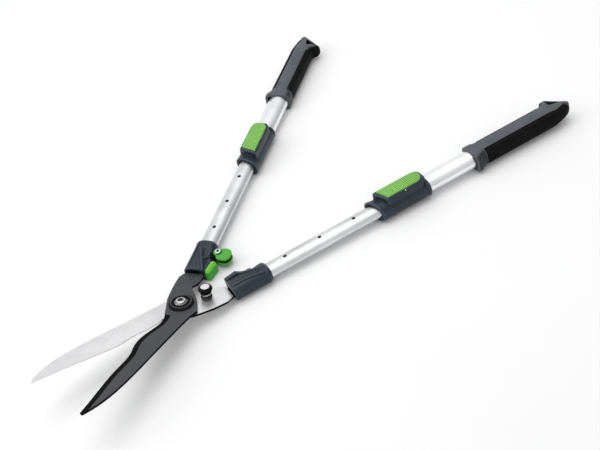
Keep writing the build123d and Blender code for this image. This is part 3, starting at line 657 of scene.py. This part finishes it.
# The key hole is drawn black: painted shade.
piece("latch_bolt", bolt_mesh, True, "left_lever", [chrome, edge_black_and_shade], "latch_screw",
      second=in_key_hole)

# ---- grips ----
GRIP_START, GRIP_STRAIGHT, GRIP_TIP = 417.0, 534.0, 574.0
GRIP_SIDE = 17.2
TIP_SIDE, CORNER = -4.0, (553.0, 26.2)
PANEL = (434.5, 567.0)            # the rubber's start, and about its end
BAND_HALF = 9.6                   # half-width of the core's band along the top
BAND_WIDENS = 536.0               # beyond it the band reaches the inner edge
GRIP_STEP = 0.75


def ease(low, high, value):
    t = min(1.0, max(0.0, (value - low) / (high - low)))
    return t * t * (3 - 2 * t)


def grip_shape(a):
    """Left, right, top, bottom and squareness of the grip's section."""
    collar = 1 - ease(428.5, 431.5, a)
    neck = math.exp(-((a - 432.0) / 2.2) ** 2)
    flange = 1 - ease(422.0, 428.5, a)
    left = -GRIP_SIDE - 3.5 * flange + 1.3 * neck
    right = GRIP_SIDE + 0.5 * flange - 1.1 * neck
    top = 13.1 + 0.3 * flange
    bottom = -12.9 - 0.9 * flange + 0.9 * neck
    if a > GRIP_STRAIGHT:
        t = (a - GRIP_STRAIGHT) / (GRIP_TIP - GRIP_STRAIGHT)
        left = -GRIP_SIDE + (GRIP_SIDE + TIP_SIDE) * (1 - math.sqrt(max(0.0, 1 - t ** 2.3)))
        top -= 3.4 * ease(0.0, 1.2, t)
        bottom += 15.0 * (1 - math.sqrt(max(0.0, 1 - t ** 2.4)))
        hook = ease(540.5, 549.5, a)
        slope = (TIP_SIDE + 1.5 - CORNER[1]) / (GRIP_TIP - CORNER[0])
        edge = CORNER[1] + slope * max(0.0, a - CORNER[0])
        right = min(GRIP_SIDE + (CORNER[1] - GRIP_SIDE) * hook, edge)
    return left, max(right, left + 1.6), top, bottom, 3.0 + 0.8 * collar


def panel_depth(p):
    """About how far a point lies inside the rubber panel's outline, in millimetres."""
    start, end = PANEL
    lip = 11.2 - 3.4 * ease(GRIP_STRAIGHT, GRIP_TIP, p.x)
    tip = end + 4.0 - 9.0 * (abs(p.z - 3.0) / 11.0) ** 2.2
    band = BAND_HALF - 6.0 * ease(GRIP_STRAIGHT + 14, GRIP_TIP, p.x)
    aside = -band - p.y if p.y < 0 or p.x < BAND_WIDENS else -1.0
    aside = max(aside, p.y - BAND_HALF if p.x < BAND_WIDENS else -1.0)
    return min(p.x - start, max(lip - p.z, aside), tip - p.x)


def grip_skin(depth):
    """The grip's surface, sunk by depth(inside) at each point."""
    bm = bmesh.new()
    rings = []
    stations = [GRIP_START + GRIP_STEP * k for k in range(int((GRIP_TIP - GRIP_START) / GRIP_STEP))]
    stations += [GRIP_TIP - 0.4, GRIP_TIP - 0.05]
    for a in stations:
        left, right, top, bottom, power = grip_shape(a)
        near = min(1.0, (a - GRIP_START) / 1.2)
        inset = 1.2 * (1 - math.sqrt(max(0.0, 1 - (1 - near) ** 2)))
        far = min(1.0, (GRIP_TIP - a) / 2.0)
        inset_z = inset + 3.0 * (1 - math.sqrt(max(0.0, 1 - (1 - far) ** 2)))
        ring = oval_ring(a, left + inset, right - inset, top - inset_z, bottom + inset_z, power, 168)
        centre = Vector((a, (left + right) / 2, (top + bottom) / 2))
        moved = []
        for p in ring:
            arm = p - centre
            sunk = min(depth(panel_depth(p)), 0.6 * arm.length)
            moved.append(centre + arm * (1 - sunk / arm.length))
        rings.append(moved)
    skin(bm, rings)
    return bm


def hanging_hole():
    hole = bmesh.new()
    corners = [Vector((565.6, 1.4, 0)), Vector((551.2, 19.6, 0)), Vector((548.8, 4.4, 0))]
    middle = sum(corners, Vector()) / 3
    outline = []
    for k, corner in enumerate(corners):
        for other in (corners[k - 1], corners[(k + 1) % 3]):
            outline.append(corner.lerp(other, 0.12).lerp(middle, 0.02))
    prism(hole, [(p.x, p.y) for p in outline], -30, 30)
    return hole


def tube_bore():
    bore = bmesh.new()
    half, high = OUTER_TUBE_ROOM
    skin(bore, [oval_ring(a, -half, half, high, -high, 2.0, 96) for a in (410.0, 540.2)])
    return bore


def core_depth(inside):
    """The core is sunk under the rubber."""
    return 1.6 * ease(-0.5, 0.5, inside)


def cover_depth(inside):
    """The rubber dives under the core round its outline, behind a shallow groove."""
    return 0.4 + 2.2 * (1 - ease(-0.7, 0.6, inside)) + 0.8 * math.exp(-((inside - 1.3) / 1.5) ** 2)


core_mesh = finished(grip_skin(core_depth), cut_by(hanging_hole()), cut_by(tube_bore()))
pair("grip", core_mesh, "handle", [grip_grey], "grip_core")
cover_mesh = finished(grip_skin(cover_depth), cut_by(hanging_hole()), cut_by(tube_bore()))
pair("rubber", cover_mesh, "handle", [rubber], "grip_rubber")


# ---- blades: the plates' ground and cut faces have a finish of their own ----
def two_finishes(node, body, looks, second):
    """Stands for a CAD node with the same faces; second(polygon) picks those in the other finish."""
    mesh = frame["nodes"][node].data.copy()
    mesh.materials.clear()
    for look in looks:
        mesh.materials.append(look.material)
    for polygon in mesh.polygons:
        polygon.material_index = int(second(polygon))
    declare(f"{node}_plate", mesh, body, node)


def slope(polygon):
    return polygon.normal.dot(pivot_axis)


def behind_pivot(polygon):
    """Millimetres from the pivot towards the handles."""
    return (TOOL.inverted() @ polygon.center).x / MM


def lathe(name, profile, node, body, looks, socket=None, second=None):
    """Turned piece on the axis of the node it replaces; profile is (radius, height) in millimetres.

    socket is a hex key's radius, floor and top; second(radius, height) picks the other finish.
    """
    spots = [TOOL_MM.inverted() @ v.co for v in frame["nodes"][node].data.vertices]
    across = [p.x for p in spots]
    aside = [p.y for p in spots]
    x, y = (min(across) + max(across)) / 2, (min(aside) + max(aside)) / 2

    def ring(radius, height, count):
        turns = [math.tau * k / count for k in range(count)]
        return [Vector((x + radius * math.cos(t), y + radius * math.sin(t), height)) for t in turns]

    bm = bmesh.new()
    skin(bm, [ring(radius, height, 96) for radius, height in profile])
    cuts = []
    if socket:
        key = bmesh.new()
        skin(key, [ring(socket[0], height, 6) for height in socket[1:]])
        cuts.append(cut_by(key))
    mesh = finished(bm, *cuts)
    mesh.materials.clear()
    for look in looks:
        mesh.materials.append(look.material)
    for polygon in mesh.polygons:
        radius = math.hypot(polygon.center.x - x, polygon.center.y - y)
        polygon.use_smooth = True
        polygon.material_index = int(bool(second) and second(radius, polygon.center.z))
    mesh.transform(TOOL_MM)
    mesh.set_sharp_from_angle(angle=math.radians(35))
    declare(name, mesh, body, node)


two_finishes("black_blade", "left_lever", [coated, edge_black_and_shade],
             lambda f: slope(f) < 0.985 and behind_pivot(f) < 58)
two_finishes("silver_blade", "right_lever", [bright, edge_black_and_shade],
             lambda f: abs(slope(f)) < 0.99 and behind_pivot(f) > -30)

# ---- turned pieces at the pivot ----
lathe("pivot_head", [
    (0.5, -12.2), (3.6, -12.2), (4.0, -11.8), (4.0, 5.2), (8.0, 5.2), (8.3, 5.5), (8.3, 5.9), (8.1, 6.2),
    (7.7, 6.5), (7.2, 6.9), (6.4, 7.6), (5.6, 8.2), (5.0, 8.55), (4.5, 8.7), (0.5, 8.8),
], "pivot_screw", "right_lever", [turned, socket_steel], (4.3, 6.0, 12.0),
    lambda radius, height: radius < 4.31 and 5.9 < height < 8.5)
# The nylon finish on the lip's crest is a painted highlight ring.
lathe("pivot_dish", [
    (6.05, 3.12), (15.0, 3.12), (15.5, 3.6), (15.6, 4.2), (15.4, 4.8), (14.8, 5.1), (14.0, 5.2),
    (13.6, 5.5), (13.3, 5.9), (12.7, 6.1), (11.9, 6.05), (11.3, 5.7), (11.0, 5.2), (6.05, 5.15),
], "pivot_disc", "left_lever", [black_and_dark_reflection, nylon],
    second=lambda radius, height: 11.9 < radius < 13.3 and height > 5.7)
# The black finish on the head's rim is a painted dark reflection.
lathe("stop_post", [
    (0.5, -9.5), (2.6, -9.5), (3.0, -9.1), (3.0, -0.05), (7.2, -0.05), (7.2, 1.0), (6.9, 1.6), (6.2, 2.1),
    (5.4, 2.6), (5.0, 3.4), (5.0, 8.8), (5.4, 9.3), (8.4, 10.4), (8.9, 10.9), (9.0, 11.5), (8.9, 12.3),
    (8.3, 13.2), (7.2, 14.0), (5.9, 14.5), (5.4, 14.7), (4.6, 14.8), (0.5, 14.9),
], "stop_bolt", "right_lever", [stop_steel, black_and_dark_reflection],
    second=lambda radius, height: radius > 6.1 and height > 9.5)
# The zinc band on the ring's crest is a painted highlight.
lathe("stop_sleeve", [
    (5.02, 4.3), (6.4, 4.3), (6.9, 4.7), (7.1, 5.4), (7.0, 6.3), (6.6, 7.2), (5.9, 7.9), (5.02, 8.0),
], "stop_ring", "right_lever", [black_and_dark_reflection, zinc_and_highlight],
    second=lambda radius, height: radius > 6.3 and 4.8 < height < 6.6)

for cutter in cutters:
    bpy.data.objects.remove(cutter)

# ---- button springs: rigid copies, about as short as a full press leaves them ----
PRESSED = 0.72
for side, base in (("right", ARM), ("left", MIRROR @ ARM)):
    coil = frame["nodes"][f"{side}_button_spring"].data.copy()
    coil.transform(base.inverted())
    foot = Matrix.Translation((0, 0, min(v.co.z for v in coil.vertices)))
    coil.transform(base @ foot @ Matrix.Diagonal((1, 1, PRESSED, 1)) @ foot.inverted())
    coil.materials.clear()
    coil.materials.append(zinc_and_highlight.material)
    declare(f"{side}_spring_coil", coil, f"{side}_handle", f"{side}_button_spring")

# ---- finishes of the CAD nodes that stay ----
FINISH = {"pivot_bush": zinc_and_highlight, "pivot_washer": zinc_and_highlight, "pivot_nut": zinc_and_highlight, "stop_nut": zinc_and_highlight}
PAIRED = {
    "tang_insert": nylon, "ferrule_screws": zinc_and_highlight, "slider_bush": nylon, "front_bush": black_and_dark_reflection,
    "tube_plug": nylon, "lock_pin": zinc_and_highlight, "clamp_screw": zinc_and_highlight, "grip_screw": zinc_and_highlight,
}
for side in ("right", "left"):
    FINISH[f"{side}_inner_tube"] = inner_tube[side]
    FINISH[f"{side}_outer_tube"] = outer_tube[side]
    for name, look in PAIRED.items():
        FINISH[f"{side}_{name}"] = look
for name, look in FINISH.items():
    node = frame["nodes"][name]
    for item in node.material_slots:
        item.material = look.material

# ---- floor, light and camera ----
floor_mesh = bpy.data.meshes.new("floor")
floor_bm = bmesh.new()
bmesh.ops.create_grid(floor_bm, x_segments=4, y_segments=4, size=6)
floor_bm.to_mesh(floor_mesh)
floor_bm.free()
floor = bpy.data.objects.new("floor", floor_mesh)
floor.location.z = cad_box[0][2]
bpy.context.scene.collection.objects.link(floor)
pale = Look("pale_floor", Roughness=0.9, Specular_IOR_Level=0.1)
pale.colour(pale.mix(pale.noise(0.3), (0.86, 0.86, 0.86), (0.89, 0.89, 0.89)))
floor_mesh.materials.append(pale.material)

world = bpy.data.worlds.new("studio")
bpy.context.scene.world = world
world.use_nodes = True
tree = world.node_tree
background = tree.nodes["Background"]
background.inputs["Strength"].default_value = 0.9
direction = tree.nodes.new("ShaderNodeTexCoord")
sky = tree.nodes.new("ShaderNodeValToRGB")
sky.color_ramp.elements[0].position = 0.35
sky.color_ramp.elements[0].color = (1.0, 1.0, 1.0, 1)
sky.color_ramp.elements[1].position = 0.95
sky.color_ramp.elements[1].color = (0.40, 0.41, 0.43, 1)
aside = tree.nodes.new("ShaderNodeVectorMath")
aside.operation = "DOT_PRODUCT"
aside.inputs[1].default_value = (0.70, -0.71, 0.0)
tree.links.new(direction.outputs["Generated"], aside.inputs[0])
tree.links.new(aside.outputs["Value"], sky.inputs["Fac"])
tree.links.new(sky.outputs["Color"], background.inputs["Color"])


def softbox(name, at, size, power):
    lamp = bpy.data.lights.new(name, "AREA")
    lamp.shape = "RECTANGLE"
    lamp.size, lamp.size_y = size
    lamp.energy = power
    thing = bpy.data.objects.new(name, lamp)
    thing.location = at
    thing.rotation_euler = (-Vector(at)).to_track_quat("-Z", "Y").to_euler()
    bpy.context.scene.collection.objects.link(thing)


softbox("overhead", (0.1, 0.3, 1.6), (1.8, 1.2), 10)
softbox("left_fill", (-1.2, 1.1, 1.0), (1.0, 1.0), 5)

# the camera's turns in the tool's frame, and where it sees the pivot: right, up and ahead, in mm
AZIMUTH, ELEVATION, ROLL = 44.47, 33.03, -7.01
OFFSET = Vector((-142.8, -97.0, 1264.2))
az, el, roll = (math.radians(v) for v in (AZIMUTH, ELEVATION, ROLL))
forward = Vector((math.cos(el) * math.cos(az), math.cos(el) * math.sin(az), -math.sin(el)))
level = Vector((math.sin(az), -math.cos(az), 0))
upright = level.cross(forward)
rightwards = math.cos(roll) * level + math.sin(roll) * upright
upwards = math.cos(roll) * upright - math.sin(roll) * level
eye = -(rightwards * OFFSET.x + upwards * OFFSET.y + forward * OFFSET.z) * MM
lens = bpy.data.cameras.new("camera")
lens.sensor_width = 36
lens.lens = 62.82
camera = bpy.data.objects.new("camera", lens)
camera.matrix_world = TOOL @ axes(rightwards, upwards, -forward, eye)
bpy.context.scene.collection.objects.link(camera)
bpy.context.scene.camera = camera
bpy.context.scene.view_settings.view_transform = "Standard"

bpy.context.view_layer.update()
